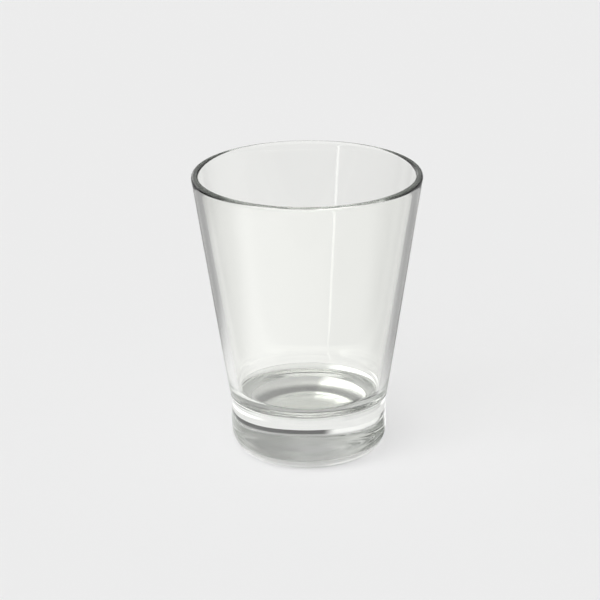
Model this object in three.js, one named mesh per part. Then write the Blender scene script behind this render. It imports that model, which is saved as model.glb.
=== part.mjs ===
// A conical drinking tumbler on a heavy foot, in clear glass.
//
// It is two pieces of glass, fused hot: the bowl, a cone with a rounded lip and a round
// bottom, and the foot, a thick waisted puck whose dished top takes that bottom. They meet
// face to face on the seat, and the seam between them shows as a groove above the waist.
//
// Millimetres, +Z up. The origin is the middle of the base, on the surface that the
// tumbler stands on.

import * as THREE from 'three';

// The bowl
const HEIGHT = 104;            // from the table to the top of the lip
const RIM_DIAMETER = 82;       // outside, at the lip
const RIM_WALL = 2.6;          // thickness of the wall at the lip
const SHOULDER_WALL = 3.1;     // thickness of the wall where the cone begins
const SHOULDER_RISE = 1.6;     // from the seam up to where the cone begins
const SHOULDER_OUTSET = 0.84;  // how far the cone begins outside the seam
const SHOULDER_TURN = 0.4;     // above the seam, where the cone's line and the groove's would cross
const FLOOR_THICKNESS = 3.2;   // the bowl's own bottom, on the axis
const FLOOR_FILLET = 6;        // inside, between the floor and the wall

// The foot
const FOOT_DIAMETER = 55.6;    // at the top of the rounded edge
const WAIST_HEIGHT = 8.9;      // the upright side, from the rounded edge up to the waist
const WAIST_DRAW = 0.3;        // how far the side draws in at the waist
const FLARE_HEIGHT = 3.3;      // from the waist up to the seam
const FLARE_SPREAD = 0.65;     // how far the side spreads again on the way
const EDGE_HEIGHT = 10;        // the rounded lower edge
const BEARING_DIAMETER = 38;   // outside of the flat ring that stands on the table
const BEARING_WIDTH = 3;       // width of that ring
const PUSH_UP = 0.5;           // how far the underside is hollowed, on the axis

// The fused joint
const SEAM_GROOVE = 0.45;      // depth of the groove round the seam
const SEAT_DEPTH = 3.5;        // how far the round bottom sinks into the foot, on the axis

// Facets
const TURN_STEPS = 72;
const SEAT_STEPS = 6;
const ROUND_STEPS = 6;
const LIP_STEPS = 8;

// Places that follow from these sizes
const rimRadius = RIM_DIAMETER / 2;
const footRadius = FOOT_DIAMETER / 2;
const bearingRadius = BEARING_DIAMETER / 2;
const hollowRadius = bearingRadius - BEARING_WIDTH;
const waistRadius = footRadius - WAIST_DRAW;
const flareRadius = waistRadius + FLARE_SPREAD;
const seamRadius = flareRadius - SEAM_GROOVE;
const waistHeight = EDGE_HEIGHT + WAIST_HEIGHT;
const seamHeight = waistHeight + FLARE_HEIGHT;
const seatHeight = seamHeight - SEAT_DEPTH;
const floorHeight = seatHeight + FLOOR_THICKNESS;
const shoulderRadius = seamRadius + SHOULDER_OUTSET;
const shoulderHeight = seamHeight + SHOULDER_RISE;
const lipRadius = RIM_WALL / 2;
const lipHeight = HEIGHT - lipRadius;

const quarterTurn = Math.PI / 2;

// An outline is a list of points, each with its distance from the axis and its height.
function point(radius, height) {
  return new THREE.Vector2(radius, height);
}

// The points along a curve, without its first one, which the outline already has.
function along(curve, steps) {
  return curve.getPoints(steps).slice(1);
}

function arc(centre, radius, start, end) {
  return new THREE.EllipseCurve(centre.x, centre.y, radius, radius, start, end, end < start);
}

// A shallow dome that rises from its lowest point on the axis to the radius and height given.
function dish(radius, bottom, depth) {
  const sphere = (radius ** 2 + depth ** 2) / (2 * depth);
  const reach = Math.asin(radius / sphere);
  const curve = arc(point(0, bottom + sphere), sphere, -quarterTurn, reach - quarterTurn);
  return [point(0, bottom), ...along(curve, SEAT_STEPS)];
}

// The face that bowl and foot share, from the axis out to the seam.
const seat = dish(seamRadius, seatHeight, SEAT_DEPTH);

// The bowl, from the middle of its round bottom, up the outside, over the lip and down inside.
function bowlOutline() {
  const wallHeight = lipHeight - shoulderHeight;
  const innerShoulder = shoulderRadius - SHOULDER_WALL;
  const outerSlope = (rimRadius - shoulderRadius) / wallHeight;
  const innerSlope = (rimRadius - RIM_WALL - innerShoulder) / wallHeight;

  const cone = point(shoulderRadius, shoulderHeight);
  const turnDrop = SHOULDER_RISE - SHOULDER_TURN;
  const turnIn = point(shoulderRadius - outerSlope * turnDrop, shoulderHeight - turnDrop);
  const shoulder = new THREE.QuadraticBezierCurve(point(seamRadius, seamHeight), turnIn, cone);

  const lip = arc(point(rimRadius - lipRadius, lipHeight), lipRadius, 0, Math.PI);

  const cornerRadius = innerShoulder - innerSlope * (shoulderHeight - floorHeight);
  const lean = Math.hypot(1, innerSlope);
  const flatRadius = cornerRadius + FLOOR_FILLET * (innerSlope - lean);
  const filletCentre = point(flatRadius, floorHeight + FLOOR_FILLET);
  const fillet = arc(filletCentre, FLOOR_FILLET, -Math.atan(innerSlope), -quarterTurn);

  return [
    ...seat,
    ...along(shoulder, ROUND_STEPS),
    ...lip.getPoints(LIP_STEPS),
    ...fillet.getPoints(ROUND_STEPS),
    point(0, floorHeight),
  ];
}

// The foot, from the middle of its hollowed underside, round the outside and in along the seat.
function footOutline() {
  const hollow = dish(hollowRadius, 0, PUSH_UP).map((p) => point(p.x, PUSH_UP - p.y));
  const edge = new THREE.EllipseCurve(
    bearingRadius, EDGE_HEIGHT,
    footRadius - bearingRadius, EDGE_HEIGHT,
    -quarterTurn, 0,
  );
  const waist = point(waistRadius, waistHeight);
  const side = new THREE.QuadraticBezierCurve(
    point(footRadius, EDGE_HEIGHT),
    point(footRadius, (EDGE_HEIGHT + waistHeight) / 2),
    waist,
  );
  const flareTop = point(flareRadius, seamHeight - SEAM_GROOVE);
  const flare = new THREE.QuadraticBezierCurve(
    waist,
    point(waistRadius, (waistHeight + flareTop.y) / 2),
    flareTop,
  );
  const corner = new THREE.QuadraticBezierCurve(
    flareTop,
    point(flareRadius, seamHeight),
    point(seamRadius, seamHeight),
  );
  return [
    ...hollow,
    ...edge.getPoints(ROUND_STEPS),
    ...along(side, ROUND_STEPS),
    ...along(flare, ROUND_STEPS),
    ...along(corner, ROUND_STEPS),
    ...seat.slice(0, -1).reverse(),
  ];
}

// A piece of glass turned about +Z from its outline.
function turned(name, outline, colour, roughness) {
  const geometry = new THREE.LatheGeometry(outline, TURN_STEPS);
  geometry.rotateX(quarterTurn);
  const material = new THREE.MeshStandardMaterial({
    color: colour,
    roughness,
    metalness: 0,
    transparent: true,
    opacity: 0.35,
  });
  const mesh = new THREE.Mesh(geometry, material);
  mesh.name = name;
  return mesh;
}

const tumbler = new THREE.Group();
tumbler.name = 'tumbler';
tumbler.add(turned('bowl', bowlOutline(), 0xe8ebe7, 0.04));
tumbler.add(turned('foot', footOutline(), 0xd3d8d3, 0.06));

export default tumbler;
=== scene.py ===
"""A clear glass tumbler on a heavy foot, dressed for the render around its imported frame.

The tumbler is two pieces of glass fused hot at the waist: the conical bowl and the foot. Each is
turned from its outline by one Geometry Nodes tree. Lengths are metres and +Z is up.
"""

import logging
import math
from dataclasses import dataclass
from enum import Enum
from typing import Any

import bmesh
import bpy
from mathutils import Euler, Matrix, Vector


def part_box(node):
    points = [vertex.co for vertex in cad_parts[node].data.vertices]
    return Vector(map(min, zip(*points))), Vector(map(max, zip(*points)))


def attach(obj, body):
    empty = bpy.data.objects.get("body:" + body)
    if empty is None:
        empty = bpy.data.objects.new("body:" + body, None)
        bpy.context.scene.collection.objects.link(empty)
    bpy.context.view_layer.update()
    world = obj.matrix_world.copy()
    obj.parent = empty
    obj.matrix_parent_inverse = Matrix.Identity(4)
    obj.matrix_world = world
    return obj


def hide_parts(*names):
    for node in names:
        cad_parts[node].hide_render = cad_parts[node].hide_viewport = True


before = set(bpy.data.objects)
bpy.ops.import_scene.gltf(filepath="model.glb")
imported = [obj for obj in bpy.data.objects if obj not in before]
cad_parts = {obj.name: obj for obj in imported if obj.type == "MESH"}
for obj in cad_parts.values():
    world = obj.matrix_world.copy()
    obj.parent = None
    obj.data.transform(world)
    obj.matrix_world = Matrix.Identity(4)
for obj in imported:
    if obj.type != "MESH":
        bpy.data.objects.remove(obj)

LOG = logging.getLogger("tumbler")
MM = 0.001
QUARTER_TURN = math.pi / 2
BODY = "root"
GLASS_SLOT = "clear_glass"
JOINT_LAYER = "joint"

WHITE = (1.0, 1.0, 1.0, 1.0)
PALE = 0.871  # the level of the table and of the backdrop, as the eye sees them
BOUNCES = 64  # enough for light to pass every wall of the glass
NOISE_MIDDLE = 0.5  # the mean of a noise texture
SAME_POINT = 1e-7  # points of an outline that are closer than this are one
LEAST_AWAY = 1e-6  # the least distance from the axis that a heading is worked out with

Colour = tuple[float, float, float]
OutlinePoint = tuple[float, float]
Span = tuple[float, float]
Sockets = dict[str, bpy.types.NodeSocket]


class Face(Enum):
    """What a stretch of an outline makes: a free surface, or the face fused to the other piece."""

    FREE = 0
    JOINT = 1


class Value:
    """A number that a node tree works out, with Python's operators on it."""

    def __init__(self, tree: "Tree", socket: bpy.types.NodeSocket) -> None:
        """Wraps an output socket of a node in the tree.

        Args:
            tree: the tree that the socket belongs to.
            socket: the output to wrap.
        """
        self.tree = tree
        self.socket = socket

    def __add__(self, other: "Value | float") -> "Value":
        """Adds a value or a number."""
        return self.tree.maths("ADD", self, other)

    def __radd__(self, other: float) -> "Value":
        """Adds this to a number."""
        return self.tree.maths("ADD", other, self)

    def __sub__(self, other: "Value | float") -> "Value":
        """Takes a value or a number away."""
        return self.tree.maths("SUBTRACT", self, other)

    def __rsub__(self, other: float) -> "Value":
        """Takes this away from a number."""
        return self.tree.maths("SUBTRACT", other, self)

    def __mul__(self, other: "Value | float") -> "Value":
        """Multiplies by a value or a number."""
        return self.tree.maths("MULTIPLY", self, other)

    def __rmul__(self, other: float) -> "Value":
        """Multiplies a number by this."""
        return self.tree.maths("MULTIPLY", other, self)

    def __truediv__(self, other: "Value | float") -> "Value":
        """Divides by a value or a number."""
        return self.tree.maths("DIVIDE", self, other)

    def __gt__(self, other: "Value | float") -> "Value":
        """Gives 1 where this is the greater, and 0 elsewhere."""
        return self.tree.maths("GREATER_THAN", self, other)


class Tree:
    """A node tree, with short ways to add nodes to it."""

    def __init__(self, tree: bpy.types.NodeTree) -> None:
        """Wraps a node tree, emptied of its nodes.

        Args:
            tree: the tree to build in.
        """
        self.tree = tree
        tree.nodes.clear()

    def node(
        self,
        kind: str,
        settings: dict[str, Any] | None = None,
        inputs: dict[str | int, Any] | None = None,
    ) -> bpy.types.Node:
        """Adds one node.

        Args:
            kind: the node's type.
            settings: its own settings, which are set first.
            inputs: values or links of its sockets, by name or place.

        Returns:
            The new node.
        """
        made = self.tree.nodes.new(kind)
        for name, setting in (settings or {}).items():
            setattr(made, name, setting)
        for key, value in (inputs or {}).items():
            self.feed(made.inputs[key], value)
        return made

    def feed(self, socket: bpy.types.NodeSocket, value: Any) -> None:
        """Links a socket to a value, or sets it to a plain number, colour or vector.

        Args:
            socket: the input to feed.
            value: a Value, an output socket, or something plain.
        """
        if isinstance(value, Value):
            value = value.socket
        if isinstance(value, bpy.types.NodeSocket):
            self.tree.links.new(value, socket)
        else:
            socket.default_value = value

    def value(
        self,
        kind: str,
        output: str | int = 0,
        settings: dict[str, Any] | None = None,
        inputs: dict[str | int, Any] | None = None,
    ) -> Value:
        """Adds one node and wraps one of its outputs.

        Args:
            kind: the node's type.
            output: the output's name or place.
            settings: the node's own settings.
            inputs: values or links of its sockets.

        Returns:
            The output as a Value.
        """
        return Value(self, self.node(kind, settings, inputs).outputs[output])

    def maths(self, operation: str, *terms: "Value | float") -> Value:
        """Adds a Math node.

        Args:
            operation: the node's operation.
            terms: its inputs in order.

        Returns:
            The result.
        """
        return self.value("ShaderNodeMath", 0, {"operation": operation}, dict(enumerate(terms)))

    def split(self, vector: bpy.types.NodeSocket) -> list[Value]:
        """Splits a vector into its shares along X, Y and Z.

        Args:
            vector: the output that gives it.

        Returns:
            The three shares.
        """
        shares = self.node("ShaderNodeSeparateXYZ", None, {0: vector}).outputs
        return [Value(self, share) for share in shares]

    def ramp(
        self,
        x: Value,
        low: "Value | float",
        high: "Value | float",
        start: float = 0.0,
        end: float = 1.0,
    ) -> Value:
        """Goes smoothly from start to end as x goes from low to high.

        Args:
            x: the value to follow.
            low: where the change begins.
            high: where it ends.
            start: the result at and before low.
            end: the result at and past high.

        Returns:
            The eased value.
        """
        return self.value(
            "ShaderNodeMapRange",
            0,
            {"interpolation_type": "SMOOTHSTEP"},
            {"Value": x, "From Min": low, "From Max": high, "To Min": start, "To Max": end},
        )


def add_object(name: str, data: bpy.types.ID) -> bpy.types.Object:
    """Adds an object to the scene, at the origin.

    Args:
        name: its name.
        data: its mesh, light or camera.

    Returns:
        The object.
    """
    made = bpy.data.objects.new(name, data)
    bpy.context.scene.collection.objects.link(made)
    return made


def new_material(name: str) -> tuple[bpy.types.Material, Tree]:
    """Starts a material.

    Args:
        name: its name.

    Returns:
        The material and its tree, which is empty.
    """
    made = bpy.data.materials.new(name)
    made.use_nodes = True
    return made, Tree(made.node_tree)


@dataclass(frozen=True)
class Sizes:
    """The tumbler's sizes. Those in the first group come from the frame, and the rest go with them."""

    rim_radius: float
    height: float
    seat_height: float
    seam_height: float
    flare_radius: float

    rim_wall: float = 2.6 * MM
    shoulder_wall: float = 3.1 * MM
    shoulder_rise: float = 1.6 * MM
    shoulder_outset: float = 0.84 * MM
    shoulder_turn: float = 0.4 * MM
    floor_thickness: float = 3.2 * MM
    floor_fillet: float = 6.0 * MM
    edge_height: float = 10.0 * MM
    waist_draw: float = 0.3 * MM
    flare_height: float = 3.3 * MM
    flare_spread: float = 0.65 * MM
    bearing_radius: float = 19.0 * MM
    bearing_width: float = 3.0 * MM
    push_up: float = 0.5 * MM
    seam_groove: float = 0.45 * MM
    joint_gap: float = 0.01 * MM

    @classmethod
    def from_frame(cls) -> "Sizes":
        """Reads the sizes that the frame gives.

        Returns:
            The sizes of this tumbler.
        """
        bowl_low, bowl_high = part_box("bowl")
        _, foot_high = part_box("foot")
        return cls(
            rim_radius=bowl_high.x,
            height=bowl_high.z,
            seat_height=bowl_low.z,
            seam_height=foot_high.z,
            flare_radius=foot_high.x,
        )

    @property
    def seam_radius(self) -> float:
        """The radius at the bottom of the groove round the seam."""
        return self.flare_radius - self.seam_groove

    @property
    def waist_radius(self) -> float:
        """The radius at the foot's narrowest place."""
        return self.flare_radius - self.flare_spread

    @property
    def foot_radius(self) -> float:
        """The radius at the top of the foot's rounded edge."""
        return self.waist_radius + self.waist_draw

    @property
    def seat_depth(self) -> float:
        """How far the bowl's round bottom sinks into the foot."""
        return self.seam_height - self.seat_height


class Outline:
    """Half the section of a turned piece, from the axis round to the axis again."""

    def __init__(self) -> None:
        """Starts an empty outline."""
        self.points: list[OutlinePoint] = []
        self.faces: list[Face] = []

    def to(self, face: Face, points: list[OutlinePoint]) -> None:
        """Adds a stretch, leaving out a first point that the outline already ends on.

        Args:
            face: what the stretch makes.
            points: its points, as radius and height.
        """
        for point in points:
            if not self.points or math.dist(point, self.points[-1]) > SAME_POINT:
                self.points.append(point)
                self.faces.append(face)

    def mesh(self, name: str) -> bpy.types.Mesh:
        """Makes the outline a chain of edges in the XZ plane.

        Args:
            name: the mesh's name.

        Returns:
            The mesh, with a point attribute that is 1 on the fused face.
        """
        made = bpy.data.meshes.new(name)
        links = [(i, i + 1) for i in range(len(self.points) - 1)]
        made.from_pydata([(r, 0.0, z) for r, z in self.points], links, [])
        layer = made.attributes.new(JOINT_LAYER, "FLOAT", "POINT")
        layer.data.foreach_set("value", [float(face is Face.JOINT) for face in self.faces])
        return made


def line(start: OutlinePoint, end: OutlinePoint, steps: int) -> list[OutlinePoint]:
    """Points along a straight stretch.

    Args:
        start: its first point.
        end: its last point.
        steps: how many steps it takes.

    Returns:
        The points, both ends included.
    """
    shares = [i / steps for i in range(steps + 1)]
    return [(start[0] + (end[0] - start[0]) * t, start[1] + (end[1] - start[1]) * t) for t in shares]


def arc(
    centre: OutlinePoint, radii: OutlinePoint, start: float, end: float, steps: int
) -> list[OutlinePoint]:
    """Points along part of an ellipse.

    Args:
        centre: its centre.
        radii: its radius across and its radius up.
        start: the angle of its first point, in radians from outwards towards up.
        end: the angle of its last point.
        steps: how many steps it takes.

    Returns:
        The points, both ends included.
    """
    angles = [start + (end - start) * i / steps for i in range(steps + 1)]
    return [(centre[0] + radii[0] * math.cos(a), centre[1] + radii[1] * math.sin(a)) for a in angles]


def bend(start: OutlinePoint, turn: OutlinePoint, end: OutlinePoint, steps: int) -> list[OutlinePoint]:
    """Points along a curve that leaves start and reaches end pointing at turn.

    Args:
        start: its first point.
        turn: the point that both ends point at.
        end: its last point.
        steps: how many steps it takes.

    Returns:
        The points, both ends included.
    """
    firsts, seconds = line(start, turn, steps), line(turn, end, steps)
    return [line(a, b, steps)[i] for i, (a, b) in enumerate(zip(firsts, seconds))]


def dish(radius: float, bottom: float, depth: float, steps: int) -> list[OutlinePoint]:
    """Points along a shallow dome that opens upwards, from the axis to its edge.

    Args:
        radius: the radius of its edge.
        bottom: the height of its lowest point, on the axis.
        depth: how far its edge is above that.
        steps: how many steps it takes.

    Returns:
        The points, both ends included.
    """
    sphere = (radius**2 + depth**2) / (2 * depth)
    reach = math.asin(radius / sphere)
    points = arc((0.0, bottom + sphere), (sphere, sphere), -QUARTER_TURN, reach - QUARTER_TURN, steps)
    return [(0.0, bottom), *points[1:]]


@dataclass(frozen=True)
class TurnedGlass:
    """The rule that turns an outline about the axis, as a Geometry Nodes tree."""

    turn_steps: int = 288
    wave_height: float = 0.012 * MM
    wave_scale: float = 60.0
    wave_detail: float = 1.0
    calm_radius: float = 10.0 * MM  # the waves fade out from here to the axis
    crease_angle: float = math.radians(35)
    weld: float = 0.002 * MM
    joint_share: float = 0.99  # a face is on the joint where more of its corners than this are
    seed: int = 7

    def inputs(self) -> dict[str, int | float]:
        """The tree's numbers, by the names of their sockets."""
        return {
            "Turn Steps": self.turn_steps,
            "Wave Height": self.wave_height,
            "Wave Scale": self.wave_scale,
            "Wave Detail": self.wave_detail,
            "Calm Radius": self.calm_radius,
            "Crease Angle": self.crease_angle,
            "Weld": self.weld,
            "Joint Share": self.joint_share,
            "Seed": self.seed,
        }

    def tree(self) -> bpy.types.NodeTree:
        """Builds the tree, with its numbers and materials as named inputs.

        Returns:
            The tree.
        """
        group = bpy.data.node_groups.new("Turned glass", "GeometryNodeTree")
        sockets = group.interface
        sockets.new_socket("Outline", in_out="INPUT", socket_type="NodeSocketGeometry")
        for name, number in self.inputs().items():
            kind = "NodeSocketInt" if isinstance(number, int) else "NodeSocketFloat"
            sockets.new_socket(name, in_out="INPUT", socket_type=kind)
        for name in ("Glass", "Joint"):
            sockets.new_socket(name, in_out="INPUT", socket_type="NodeSocketMaterial")
        sockets.new_socket("Piece", in_out="OUTPUT", socket_type="NodeSocketGeometry")

        t = Tree(group)
        given = {socket.name: socket for socket in t.node("NodeGroupInput").outputs}
        on_joint = t.value("GeometryNodeInputNamedAttribute", "Attribute", None, {"Name": JOINT_LAYER})
        sheet = self.wrapped(t, given, on_joint)
        t.node("NodeGroupOutput", None, {0: self.finished(t, given, on_joint, sheet)})
        return group

    @staticmethod
    def wrapped(t: Tree, given: Sockets, on_joint: Value) -> bpy.types.NodeSocket:
        """Wraps a sheet of faces round the axis, with a row of it at each point of the outline.

        Args:
            t: the tree to work in.
            given: its inputs.
            on_joint: 1 at the points of the fused face.

        Returns:
            The sheet, with the fused face marked.
        """
        outline = given["Outline"]
        place = t.node("GeometryNodeInputPosition").outputs[0]
        rows = t.value(
            "GeometryNodeAttributeDomainSize", "Point Count", {"component": "MESH"}, {"Geometry": outline}
        )
        sheet = t.node(
            "GeometryNodeMeshGrid",
            None,
            {
                "Size X": 2 * math.pi,
                "Size Y": rows - 1,
                "Vertices X": Value(t, given["Turn Steps"]) + 1,
                "Vertices Y": rows,
            },
        )
        angle, along, _ = t.split(place)
        row = t.maths("ROUND", along + (rows - 1) * 0.5)

        def sampled(kind: str, what: Any) -> bpy.types.NodeSocket:
            """Reads something at this row of the outline."""
            inputs = {"Geometry": outline, "Value": what, "Index": row}
            return t.node("GeometryNodeSampleIndex", {"data_type": kind}, inputs).outputs["Value"]

        radius, _, height = t.split(sampled("FLOAT_VECTOR", place))

        def on_circle(distance: Value) -> bpy.types.NodeSocket:
            """The point at this angle and height, this far from the axis."""
            made = t.node(
                "ShaderNodeCombineXYZ",
                None,
                {
                    "X": distance * t.maths("COSINE", angle),
                    "Y": distance * t.maths("SINE", angle),
                    "Z": height,
                },
            )
            return made.outputs[0]

        waves = t.value(
            "ShaderNodeTexNoise",
            0,
            {"noise_dimensions": "4D"},
            {
                "Vector": on_circle(radius),
                "W": given["Seed"],
                "Scale": given["Wave Scale"],
                "Detail": given["Wave Detail"],
            },
        )
        off_axis = t.ramp(radius, 0.0, Value(t, given["Calm Radius"]))
        ripple = (waves - NOISE_MIDDLE) * 2.0 * Value(t, given["Wave Height"]) * off_axis
        marked = t.node(
            "GeometryNodeStoreNamedAttribute",
            {"data_type": "FLOAT", "domain": "POINT"},
            {"Geometry": sheet.outputs["Mesh"], "Name": JOINT_LAYER, "Value": sampled("FLOAT", on_joint)},
        )
        turned = t.node(
            "GeometryNodeSetPosition",
            None,
            {"Geometry": marked.outputs[0], "Position": on_circle(radius + ripple)},
        )
        return turned.outputs[0]

    @staticmethod
    def finished(
        t: Tree, given: Sockets, on_joint: Value, sheet: bpy.types.NodeSocket
    ) -> bpy.types.NodeSocket:
        """Closes a wrapped sheet, smooths it between its creases and gives it its materials.

        Args:
            t: the tree to work in.
            given: its inputs.
            on_joint: 1 at the points of the fused face.
            sheet: the wrapped sheet.

        Returns:
            The piece.
        """
        welded = t.node("GeometryNodeMergeByDistance", None, {"Geometry": sheet, "Distance": given["Weld"]})
        smooth = t.node("GeometryNodeSetShadeSmooth", {"domain": "FACE"}, {"Geometry": welded.outputs[0]})
        creased = t.value("GeometryNodeInputMeshEdgeAngle", 0) > Value(t, given["Crease Angle"])
        sharp = t.node(
            "GeometryNodeSetShadeSmooth",
            {"domain": "EDGE"},
            {"Geometry": smooth.outputs[0], "Selection": creased, "Shade Smooth": False},
        )
        real = t.node("GeometryNodeRealizeInstances", None, {"Geometry": sharp.outputs[0]})
        glass = t.node(
            "GeometryNodeSetMaterial", None, {"Geometry": real.outputs[0], "Material": given["Glass"]}
        )
        fused = t.node(
            "GeometryNodeSetMaterial",
            None,
            {
                "Geometry": glass.outputs[0],
                "Selection": on_joint > Value(t, given["Joint Share"]),
                "Material": given["Joint"],
            },
        )
        return fused.outputs[0]

    def turn(
        self,
        name: str,
        outline: Outline,
        tree: bpy.types.NodeTree,
        glass: bpy.types.Material,
        joint: bpy.types.Material,
    ) -> bpy.types.Object:
        """Turns one outline into a closed plain mesh.

        Args:
            name: the piece's name.
            outline: half its section.
            tree: the tree that turns it.
            glass: the material of its free surfaces.
            joint: the material of the face that is fused to the other piece.

        Returns:
            The piece's object, at the origin.
        """
        piece = add_object(name, outline.mesh(name + "_outline"))
        turning = piece.modifiers.new("Turned glass", "NODES")
        turning.node_group = tree
        sockets = {item.name: item.identifier for item in tree.interface.items_tree}
        for key, setting in {**self.inputs(), "Glass": glass, "Joint": joint}.items():
            turning[sockets[key]] = setting
        seen = piece.evaluated_get(bpy.context.evaluated_depsgraph_get())
        solid = bpy.data.meshes.new_from_object(seen)
        piece.modifiers.remove(turning)
        piece.data = solid
        solid.name = name
        self.face_out(solid)
        return piece

    @staticmethod
    def face_out(solid: bpy.types.Mesh) -> None:
        """Points the faces of a closed mesh outwards.

        Args:
            solid: the mesh, which is changed in place.
        """
        work = bmesh.new()
        work.from_mesh(solid)
        if work.calc_volume(signed=True) < 0:
            bmesh.ops.reverse_faces(work, faces=work.faces)
        open_edges = sum(not edge.is_manifold for edge in work.edges)
        work.to_mesh(solid)
        work.free()
        LOG.info("%s: %d faces, %d open edges", solid.name, len(solid.polygons), open_edges)


@dataclass(frozen=True)
class ClearGlass:
    """Clear fire-polished soda-lime glass."""

    ior: float = 1.52
    base: Colour = (0.996, 1.0, 0.98)
    absorbed: Colour = (0.46, 0.52, 0.44)
    density: float = 1.6

    # Faint smears, which begin above the bowl's floor
    smear_roughness: float = 0.06
    smear_scale: float = 30.0
    smear_share: Span = (0.48, 0.70)
    smear_from: Span = (28.0 * MM, 45.0 * MM)

    # Scuffs on the ring that the foot stands on, and painted contact shade that darkens the glass round it
    # towards the table
    scuff_roughness: float = 0.22
    scuff_scale: float = 900.0
    scuff_share: Span = (0.42, 0.62)
    scuff_height: float = 0.35 * MM
    painted_shade_height: float = 2.8 * MM
    painted_shade_from: Span = (16.0 * MM, 18.5 * MM)
    painted_shade_level: float = 0.08

    def volume(self, t: Tree) -> bpy.types.NodeSocket:
        """The tint that the glass gathers with its thickness.

        Args:
            t: the material's tree.

        Returns:
            The volume shader.
        """
        plain = {"Color": (*self.absorbed, 1.0), "Density": self.density}
        return t.node("ShaderNodeVolumeAbsorption", None, plain).outputs[0]

    def material(self, name: str) -> bpy.types.Material:
        """Builds the finish of the free surfaces.

        Args:
            name: the material's name.

        Returns:
            The material.
        """
        made, t = new_material(name)
        place = t.node("ShaderNodeTexCoord").outputs["Object"]
        x, y, height = t.split(place)
        radius = t.maths("SQRT", x * x + y * y)
        grit = t.value("ShaderNodeTexNoise", 0, None, {"Vector": place, "Scale": self.scuff_scale})
        cloud = t.value("ShaderNodeTexNoise", 0, None, {"Vector": place, "Scale": self.smear_scale})
        smeared = t.ramp(cloud, *self.smear_share) * t.ramp(height, *self.smear_from)
        outer = t.ramp(radius, *self.painted_shade_from)
        footing = t.ramp(height, 0.0, self.scuff_height, 1.0, 0.0) * outer
        scuffed = footing * t.ramp(grit, *self.scuff_share)
        # Painted contact shade: the glass's colour darkens round the bearing ring towards the table
        ring = t.ramp(height, 0.0, self.painted_shade_height, 1.0, 0.0) * outer
        painted_shade = 1.0 - ring * (1.0 - self.painted_shade_level)
        tint = t.node(
            "ShaderNodeCombineColor", None, {i: painted_shade * share for i, share in enumerate(self.base)}
        )
        surface = t.node(
            "ShaderNodeBsdfPrincipled",
            None,
            {
                "Base Color": tint.outputs[0],
                "Transmission Weight": 1.0,
                "IOR": self.ior,
                "Roughness": scuffed * self.scuff_roughness + smeared * self.smear_roughness,
            },
        )
        t.node(
            "ShaderNodeOutputMaterial",
            None,
            {"Surface": surface.outputs[0], "Volume": self.volume(t)},
        )
        return made

    def joint(self, name: str) -> bpy.types.Material:
        """Builds the finish of the fused face, where light goes from glass to glass unbent.

        Args:
            name: the material's name.

        Returns:
            The material.
        """
        made, t = new_material(name)
        surface = t.node("ShaderNodeBsdfTransparent")
        t.node(
            "ShaderNodeOutputMaterial",
            None,
            {"Surface": surface.outputs[0], "Volume": self.volume(t)},
        )
        return made


@dataclass(frozen=True)
class Bowl:
    """The conical vessel: lip, wall, floor and the round bottom that sits in the foot."""

    sizes: Sizes
    seat_steps: int = 20
    shoulder_steps: int = 16
    wall_steps: int = 40
    lip_steps: int = 24
    fillet_steps: int = 16
    floor_steps: int = 14

    def outline(self) -> Outline:
        """Half the bowl's section.

        Returns:
            The outline, from the middle of its bottom up the outside and down the inside.
        """
        s = self.sizes
        shoulder = (s.seam_radius + s.shoulder_outset, s.seam_height + s.shoulder_rise)
        lip_radius = s.rim_wall / 2
        lip_centre = (s.rim_radius - lip_radius, s.height - lip_radius)
        wall_height = lip_centre[1] - shoulder[1]
        inner_shoulder = shoulder[0] - s.shoulder_wall
        outer_slope = (s.rim_radius - shoulder[0]) / wall_height
        inner_slope = (s.rim_radius - s.rim_wall - inner_shoulder) / wall_height
        turn_drop = s.shoulder_rise - s.shoulder_turn
        turn = (shoulder[0] - outer_slope * turn_drop, shoulder[1] - turn_drop)

        lip = arc(
            lip_centre,
            (lip_radius, lip_radius),
            -math.atan(outer_slope),
            math.pi - math.atan(inner_slope),
            self.lip_steps,
        )
        floor_height = s.seat_height + s.floor_thickness
        corner = inner_shoulder - inner_slope * (shoulder[1] - floor_height)
        flat = corner + s.floor_fillet * (inner_slope - math.hypot(1, inner_slope))
        fillet = arc(
            (flat, floor_height + s.floor_fillet),
            (s.floor_fillet, s.floor_fillet),
            -math.atan(inner_slope),
            -QUARTER_TURN,
            self.fillet_steps,
        )

        made = Outline()
        made.to(Face.JOINT, dish(s.seam_radius, s.seat_height, s.seat_depth, self.seat_steps))
        seam = made.points[-1]
        made.to(Face.FREE, bend(seam, turn, shoulder, self.shoulder_steps))
        made.to(Face.FREE, line(shoulder, lip[0], self.wall_steps))
        made.to(Face.FREE, lip)
        made.to(Face.FREE, line(lip[-1], fillet[0], self.wall_steps))
        made.to(Face.FREE, fillet)
        made.to(Face.FREE, line(fillet[-1], (0.0, floor_height), self.floor_steps))
        return made


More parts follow.
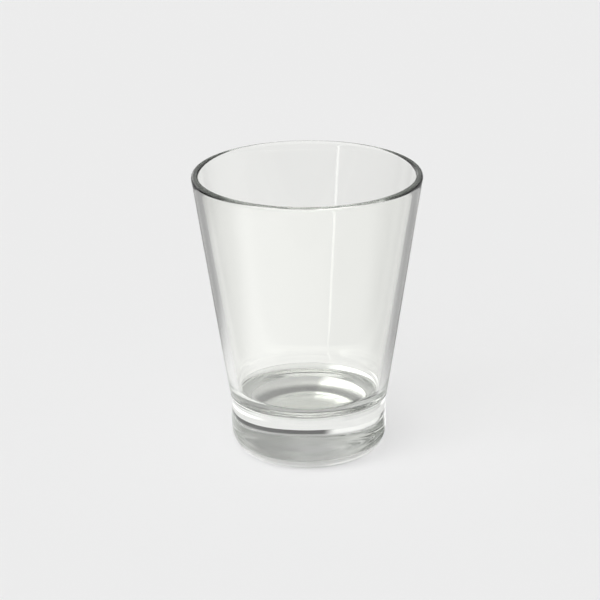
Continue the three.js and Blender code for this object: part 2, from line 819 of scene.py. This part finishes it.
@dataclass(frozen=True)
class Foot:
    """The heavy puck under the bowl, with its dished top and its hollowed underside."""

    sizes: Sizes
    hollow_steps: int = 18
    bearing_steps: int = 6
    edge_steps: int = 32
    side_steps: int = 16
    flare_steps: int = 12
    corner_steps: int = 8
    seat_steps: int = 20

    def outline(self) -> Outline:
        """Half the foot's section.

        Returns:
            The outline, from the middle of its underside round the outside and in along the seat.
        """
        s = self.sizes
        hollow_radius = s.bearing_radius - s.bearing_width
        hollow = [(r, s.push_up - z) for r, z in dish(hollow_radius, 0.0, s.push_up, self.hollow_steps)]
        edge = arc(
            (s.bearing_radius, s.edge_height),
            (s.foot_radius - s.bearing_radius, s.edge_height),
            -QUARTER_TURN,
            0.0,
            self.edge_steps,
        )
        seat_height = s.seat_height - s.joint_gap
        seat = dish(s.seam_radius, seat_height, s.seat_depth, self.seat_steps)
        waist = (s.waist_radius, s.seam_height - s.flare_height)
        swell = (s.foot_radius, (s.edge_height + waist[1]) / 2)
        flare_top = (s.flare_radius, seat[-1][1] - s.seam_groove)
        turn = (s.waist_radius, (waist[1] + flare_top[1]) / 2)
        corner = (s.flare_radius, seat[-1][1])

        made = Outline()
        made.to(Face.FREE, hollow)
        made.to(Face.FREE, line(hollow[-1], edge[0], self.bearing_steps))
        made.to(Face.FREE, edge)
        made.to(Face.FREE, bend(edge[-1], swell, waist, self.side_steps))
        made.to(Face.FREE, bend(waist, turn, flare_top, self.flare_steps))
        made.to(Face.FREE, bend(flare_top, corner, seat[-1], self.corner_steps)[:-1])
        made.to(Face.JOINT, seat[::-1])
        return made


def heading(t: Tree, place: bpy.types.NodeSocket) -> tuple[Value, Value, Value, Value]:
    """Splits a place or direction into a level heading, a distance and a height.

    Args:
        t: the tree to work in.
        place: the vector to split.

    Returns:
        The heading to the right and to the back, the distance from the axis and the height.
    """
    x, y, z = t.split(place)
    away = t.maths("MAXIMUM", t.maths("SQRT", x * x + y * y), LEAST_AWAY)
    return x / away, y / away, away, z


def facing(t: Tree, x: Value, y: Value, turn: float, half: float, soft: float) -> Value:
    """Tells how far a level heading points into a sector. The angles are in degrees.

    Args:
        t: the tree to work in.
        x: the heading's share to the right.
        y: its share to the back.
        turn: the middle of the sector, counted from the back to the right.
        half: half the sector's width.
        soft: the width of its soft edges.

    Returns:
        1 in the sector and 0 away from it.
    """
    middle = math.radians(turn)
    towards = x * math.sin(middle) + y * math.cos(middle)
    return t.ramp(towards, math.cos(math.radians(half + soft)), math.cos(math.radians(half)))


@dataclass(frozen=True)
class Rays:
    """The ways in which a ray gets to a surface. Each is 1 for a ray that goes that way, or else 0."""

    direct: Value
    by_glass: Value
    mirrored: Value

    @classmethod
    def reaching(cls, t: Tree) -> "Rays":
        """Sorts the rays that reach a surface or the world.

        Args:
            t: the tree of the surface or the world.

        Returns:
            The rays straight from the eye, those that the glass mirrors or bends on their way from it,
            and those among these that it mirrors at least once. Rays that light the table are none of them.
        """
        path = t.node("ShaderNodeLightPath").outputs
        in_view = 1.0 - t.maths("MINIMUM", Value(t, path["Diffuse Depth"]), 1.0)
        glossy, bent = Value(t, path["Is Glossy Ray"]), Value(t, path["Is Transmission Ray"])
        return cls(
            direct=Value(t, path["Is Camera Ray"]),
            by_glass=t.maths("MAXIMUM", glossy, bent) * in_view,
            mirrored=t.maths("MINIMUM", Value(t, path["Glossy Depth"]), 1.0) * in_view,
        )


@dataclass(frozen=True)
class Panel:
    """A light or dark panel of the room, with soft edges. Its angles are in degrees.

    Its turn is counted from the back to the right, as a compass is with north at the back.
    """

    turn: float
    half: float
    low: float
    high: float
    level: float
    soft: float = 8.0

    def mask(self, t: Tree, x: Value, y: Value, rise: Value) -> Value:
        """Tells how far a heading points at the panel.

        Args:
            t: the tree to work in.
            x: the heading's share to the right.
            y: its share to the back.
            rise: its angle above the level.

        Returns:
            1 on the panel and 0 away from it.
        """
        across = facing(t, x, y, self.turn, self.half, self.soft)
        above = t.ramp(rise, math.radians(self.low - self.soft), math.radians(self.low))
        below = t.ramp(rise, math.radians(self.high), math.radians(self.high + self.soft), 1.0, 0.0)
        return across * above * below


@dataclass(frozen=True)
class PaintedPatch:
    """A painted dark or light patch on the table, with soft edges, that only the glass shows.

    Its turn is counted as a panel's is, and near and far are metres from the axis.
    """

    turn: float
    half: float
    near: float
    far: float
    level: float
    soft: float = 0.02
    soft_turn: float = 15.0

    def mask(self, t: Tree, x: Value, y: Value, away: Value) -> Value:
        """Tells how far a place on the table lies on the patch.

        Args:
            t: the tree to work in.
            x: the place's heading to the right.
            y: its heading to the back.
            away: its distance from the axis.

        Returns:
            1 on the patch and 0 off it.
        """
        across = facing(t, x, y, self.turn, self.half, self.soft_turn)
        begun = t.ramp(away, self.near - self.soft, self.near)
        ended = t.ramp(away, self.far, self.far + self.soft)
        return across * begun * (1.0 - ended)


@dataclass(frozen=True)
class Room:
    """The soft light on the table, and the room that only the glass mirrors and bends."""

    # The light: an even fill, and a soft key in front and to the left
    fill: float = 0.22
    key: Panel = Panel(turn=210.0, half=30.0, low=22.0, high=56.0, level=5.2)

    # The room, from the horizon up the wall to overhead
    horizon: float = 0.10
    wall: float = 0.72
    overhead: float = 0.45
    horizon_top: float = math.radians(8)
    wall_low: float = math.radians(14)
    wall_top: float = math.radians(30)
    overhead_low: float = math.radians(60)

    # Its right side, which is a little darker
    right_from: Span = (0.2, 0.7)
    right_level: float = 0.8

    # A low dark board on the left, with its angles across in degrees
    board_turn: float = 258.0
    board_half: float = 42.0
    board_soft: float = 15.0
    board_top: Span = (math.radians(7), math.radians(14))
    board_level: float = 0.03

    # The panels: behind, low behind on the left, dark on the left, and high on the right and left
    panels: tuple[Panel, ...] = (
        Panel(turn=0.0, half=60.0, low=16.0, high=40.0, level=0.50),
        Panel(turn=325.0, half=20.0, low=2.0, high=10.0, level=1.0),
        Panel(turn=245.0, half=17.0, low=-8.0, high=22.0, level=0.02, soft=6.0),
        Panel(turn=100.0, half=50.0, low=30.0, high=70.0, level=0.33, soft=15.0),
        Panel(turn=275.0, half=35.0, low=30.0, high=60.0, level=0.75, soft=15.0),
    )

    def level(self, t: Tree, x: Value, y: Value, away: Value, rise: Value) -> Value:
        """Works out how light the room is in a direction.

        Args:
            t: the tree to work in.
            x: the heading's share to the right.
            y: its share to the back.
            away: the level share of the direction.
            rise: its angle above the level.

        Returns:
            The level, where 1 is white.
        """
        level = t.ramp(rise, self.horizon_top, self.wall_low, self.horizon, self.wall)
        level = level + t.ramp(rise, self.wall_top, self.overhead_low, 0.0, self.overhead - self.wall)
        level = level * t.ramp(x * away, *self.right_from, 1.0, self.right_level)
        board = facing(t, x, y, self.board_turn, self.board_half, self.board_soft)
        board = board * t.ramp(rise, *self.board_top, 1.0, 0.0)
        level = level * (1.0 - board * (1.0 - self.board_level))
        for panel in self.panels:
            level = level + (panel.level - level) * panel.mask(t, x, y, rise)
        return level

    def world(self) -> None:
        """Makes the world: a plain backdrop, the light on the table, and the room in the glass."""
        made = bpy.data.worlds.new("Studio")
        bpy.context.scene.world = made
        made.use_nodes = True
        t = Tree(made.node_tree)
        x, y, away, z = heading(t, t.node("ShaderNodeTexCoord").outputs["Generated"])
        rise = t.maths("ARCTAN2", z, away)
        level = self.level(t, x, y, away, rise)
        light = self.fill + self.key.mask(t, x, y, rise) * self.key.level
        rays = Rays.reaching(t)
        lighting = 1.0 - rays.direct - rays.by_glass
        strength = lighting * light + rays.direct * PALE + rays.by_glass * level
        shade = t.node("ShaderNodeBackground", None, {"Color": WHITE, "Strength": strength})
        t.node("ShaderNodeOutputWorld", None, {"Surface": shade.outputs[0]})


@dataclass(frozen=True)
class Table:
    """The pale table, which shows the glass darker and lighter stretches than the eye sees: painted
    reflections and a painted caustic.

    Its stretches are told by headings from the axis, whose shares to the right and to the back go
    from -1 to 1, and by metres from the axis.
    """

    half: float = 12.0
    drop: float = 0.03 * MM  # how far it lies under the foot

    # The shares of its own level that it shows without shadow, to the eye and to the glass
    open_share: float = 0.75
    pale_share: float = 0.9
    shadow_reach: Span = (0.0, 0.060)

    # In front, in what the glass mirrors: a painted lighter reflection near the foot and a painted darker
    # one further off
    front: Span = (-0.5, 0.0)
    front_reach: Span = (0.22, 0.50)
    near_level: float = 1.7
    near_left: float = 0.3

    # Beside and behind, in what the glass mirrors: a painted dark reflection past the foot, half as dark
    # straight to the sides
    beside: Span = (0.25, 0.45)
    square_on: Span = (0.60, 0.90)
    square_share: float = 0.5
    side_reach: Span = (0.05, 0.13)
    side_right: float = 0.03
    side_level: float = 0.42

    # Painted dark reflections far off on the left and close on the right, and a painted caustic, a pool of
    # light, behind on the right
    painted_dark_patches: tuple[PaintedPatch, ...] = (
        PaintedPatch(turn=258.0, half=42.0, near=0.26, far=9.0, level=0.03, soft=0.08),
        PaintedPatch(turn=100.0, half=30.0, near=0.031, far=0.055, level=0.05, soft=0.004),
    )
    painted_caustic: PaintedPatch = PaintedPatch(turn=42.0, half=28.0, near=0.015, far=0.055, level=2.1, soft=0.006, soft_turn=8.0)

    def level(self, t: Tree, rays: Rays, x: Value, y: Value, away: Value) -> Value:
        """Works out how light a place on the table is to a ray, with the painted reflections and painted
        caustic that only the glass shows.

        Args:
            t: the tree to work in.
            rays: the ways in which the ray gets there.
            x: the place's heading to the right.
            y: its heading to the back.
            away: its distance from the axis.

        Returns:
            The level, where 1 is white.
        """
        ahead = t.ramp(y, *self.front, 1.0, 0.0)
        far_off = t.ramp(away, *self.front_reach)
        across = t.maths("ABSOLUTE", x)
        beside = t.ramp(across, *self.beside) * (1.0 - ahead)
        beside = beside * t.ramp(across, *self.square_on, 1.0, self.square_share)
        edge_off = t.ramp(away + x * self.side_right, *self.side_reach)
        dark = (ahead * far_off + beside * edge_off) * (1.0 - self.side_level)
        near = ahead * (1.0 - far_off) * (self.near_level - 1.0 + x * -self.near_left)
        # Painted reflections: the stretches that the glass mirrors are painted darker or lighter than the
        # table
        level = (1.0 + rays.mirrored * near) * (1.0 - rays.mirrored * dark) * PALE
        # Painted caustic: a pool of light painted where rays through the glass land behind on the right
        painted_caustic = rays.by_glass * self.painted_caustic.mask(t, x, y, away)
        level = level * (1.0 + painted_caustic * (self.painted_caustic.level - 1.0))
        # Painted dark reflections, shown only to rays that the glass mirrors
        for card in self.painted_dark_patches:
            shown = rays.mirrored * card.mask(t, x, y, away)
            level = level * (1.0 - shown * (1.0 - card.level))
        return level

    def finish(self) -> bpy.types.Material:
        """Builds the table's finish, with a softer shadow than the light alone gives.

        Returns:
            The material.
        """
        made, t = new_material("pale_table")
        rays = Rays.reaching(t)
        x, y, away, _ = heading(t, t.node("ShaderNodeTexCoord").outputs["Object"])
        level = self.level(t, rays, x, y, away)
        colour = t.node("ShaderNodeCombineColor", None, {0: level, 1: level, 2: level}).outputs[0]
        shade = t.node("ShaderNodeBsdfDiffuse", None, {"Color": colour})
        glow = t.node("ShaderNodeEmission", None, {"Color": colour})
        unshadowed = t.ramp(away, *self.shadow_reach, 0.0, self.pale_share)
        share = rays.direct * self.open_share + rays.by_glass * unshadowed
        mixed = t.node("ShaderNodeMixShader", None, {0: share, 1: shade.outputs[0], 2: glow.outputs[0]})
        t.node("ShaderNodeOutputMaterial", None, {"Surface": mixed.outputs[0]})
        return made

    def lay(self) -> bpy.types.Object:
        """Makes the table.

        Returns:
            The table's object.
        """
        h, z = self.half, -self.drop
        mesh = bpy.data.meshes.new("table")
        mesh.from_pydata([(-h, -h, z), (h, -h, z), (h, h, z), (-h, h, z)], [], [(0, 1, 2, 3)])
        mesh.materials.append(self.finish())
        return add_object("table", mesh)


@dataclass(frozen=True)
class Strip:
    """The narrow upright light in front and to the left, which only the glass shows."""

    turn: float = math.radians(36)
    away: float = 0.5
    lean: float = math.radians(-12)
    width: float = 0.020
    height: float = 0.34
    lift: float = 1.0 * MM
    radiance: float = 2.4

    def stand(self) -> bpy.types.Object:
        """Makes the light.

        Returns:
            The light's object.
        """
        data = bpy.data.lights.new("strip", "AREA")
        data.shape = "RECTANGLE"
        data.size, data.size_y = self.width, self.height
        data.energy = self.radiance * math.pi * self.width * self.height
        lamp = add_object("strip", data)
        lamp.location = (
            -self.away * math.sin(self.turn),
            -self.away * math.cos(self.turn),
            self.height / 2 + self.lift,
        )
        lamp.rotation_euler = (QUARTER_TURN, self.lean, -self.turn)
        lamp.visible_camera = False
        lamp.visible_diffuse = False
        return lamp


def let_light_through() -> None:
    """Lets light pass through every wall of the glass, and keeps what it mirrors sharp."""
    cycles = bpy.context.scene.cycles
    cycles.max_bounces = BOUNCES
    cycles.transmission_bounces = BOUNCES
    cycles.glossy_bounces = BOUNCES
    cycles.transparent_max_bounces = BOUNCES
    cycles.blur_glossy = 0.0


@dataclass(frozen=True)
class Camera:
    """The photograph's point of view, on a 600 by 600 picture."""

    picture: int = 600
    sensor: float = 36.0
    focal_px: float = 3560.0
    back: float = 1.200
    rise: float = 0.477
    aim_height: float = 56.5 * MM
    axis_px: float = 308.4
    roll: float = math.radians(-0.45)
    clip_end: float = 100.0

    def place(self) -> bpy.types.Object:
        """Makes the camera and makes it the scene's own.

        Returns:
            The camera's object.
        """
        data = bpy.data.cameras.new("view")
        data.sensor_width = self.sensor
        data.lens = self.focal_px * self.sensor / self.picture
        data.clip_end = self.clip_end
        camera = add_object("view", data)
        camera.location = (0.0, -self.back, self.rise)
        fall = math.atan2(self.rise - self.aim_height, self.back)
        yaw = math.atan((self.axis_px - self.picture / 2) / self.focal_px)
        turned = Euler((QUARTER_TURN - fall, 0.0, yaw)).to_quaternion()
        camera.rotation_mode = "QUATERNION"
        camera.rotation_quaternion = turned @ Euler((0.0, 0.0, self.roll)).to_quaternion()
        bpy.context.scene.camera = camera
        return camera


def dress(piece: bpy.types.Object, node: str) -> None:
    """Sets a finished piece in the frame.

    Args:
        piece: the piece's object.
        node: the CAD node that it stands for.
    """
    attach(piece, BODY)
    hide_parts(node)
    LOG.info("%s stands for %s", piece.name, node)


def build(sizes: Sizes) -> None:
    """Builds the two pieces, the studio round them and the camera.

    Args:
        sizes: the tumbler's sizes.
    """
    bpy.context.scene.view_settings.view_transform = "Standard"
    finish = ClearGlass()
    glass, joint = finish.material(GLASS_SLOT), finish.joint("fused_joint")
    rule = TurnedGlass()
    tree = rule.tree()
    dress(rule.turn("bowl_glass", Bowl(sizes).outline(), tree, glass, joint), "bowl")
    dress(rule.turn("foot_glass", Foot(sizes).outline(), tree, glass, joint), "foot")

    Room().world()
    Table().lay()
    Strip().stand()
    let_light_through()
    Camera().place()


def main() -> None:
    """Builds the tumbler."""
    logging.basicConfig(level=logging.INFO, format="%(name)s: %(message)s")
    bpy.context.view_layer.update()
    build(Sizes.from_frame())


if __name__ == "__main__":
    main()
